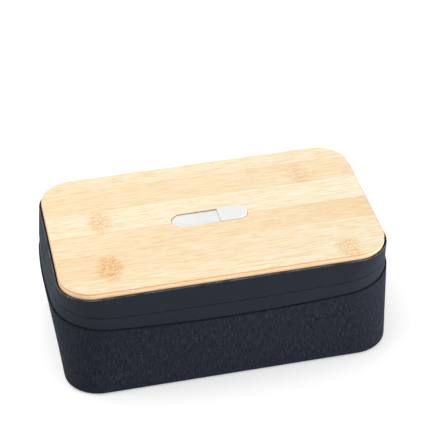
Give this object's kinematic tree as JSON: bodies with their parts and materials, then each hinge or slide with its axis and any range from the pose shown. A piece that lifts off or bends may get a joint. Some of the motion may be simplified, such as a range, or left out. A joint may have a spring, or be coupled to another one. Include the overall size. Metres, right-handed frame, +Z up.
{
  "type": "uv sanitizer box",
  "caption": "Low box with a cloth-covered base, a reflecting chamber and a rear-hinged bamboo lid that holds ultraviolet lamps, a start button and a status light.",
  "frame": {"origin": "on the floor under the middle of the box", "axes": "+X along the length, -Y to the front, +Z up"},
  "size_m": [0.2456, 0.1546, 0.0896],
  "materials": {
    "bamboo": "oiled laminated bamboo strips",
    "dark_moulding": "fine-textured dark moulding",
    "charcoal_cloth": "heathered woven cloth",
    "white_moulding": "satin white moulding",
    "light_diffuser": "milky translucent moulding",
    "chamber_metal": "drawn and polished sheet",
    "silicone": "soft silicone",
    "foot_rubber": "matt rubber",
    "screw_steel": "zinc plated",
    "pin_steel": "ground steel",
    "magnet_nickel": "nickel plated",
    "circuit": "solder mask",
    "lamp_board": "white solder mask on metal",
    "chip_black": "moulded component",
    "lamp_chip": "lamp package with clear lens",
    "clear_pane": "polished clear pane",
    "cell_wrap": "foil pouch",
    "inlet_metal": "stamped shell"
  },
  "bodies": {
    "base": {"fabric_sleeve": "charcoal_cloth", "base_shell": "dark_moulding", "base_plate": "dark_moulding", "rubber_feet": "foot_rubber", "base_screws": "screw_steel", "rim_collar": "dark_moulding", "collar_screws": "screw_steel", "hinge_pin": "pin_steel", "lid_seal": "silicone", "catch_magnets": "magnet_nickel", "interlock_magnet": "magnet_nickel", "chamber_liner": "chamber_metal"},
    "lid": {"lid_frame": "dark_moulding", "bamboo_panel": "bamboo", "lid_cover": "white_moulding", "cover_screws": "screw_steel", "light_bar": "light_diffuser", "control_board": "circuit", "tact_switch": "chip_black", "status_leds": "lamp_chip", "battery_pack": "cell_wrap", "power_board": "circuit", "usb_port": "inlet_metal", "uv_boards": "lamp_board", "uv_leds": "lamp_chip", "uv_windows": "clear_pane", "lid_magnets": "magnet_nickel", "reed_switch": "chip_black"},
    "button": {"start_button": "white_moulding", "switch_plunger": "chip_black"}
  },
  "joints": [
    {"name": "lid_hinge", "type": "hinge", "parent": "base", "child": "lid", "pos_m": [0, 0.0749, 0.0684], "axis": [-1, 0, 0], "range_deg": [0, 105]},
    {"name": "button_press", "type": "slide", "parent": "lid", "child": "button", "axis": [0, 0, -1], "range_m": [0, 0.0008], "stiffness_N_per_m": 1500}
  ]
}
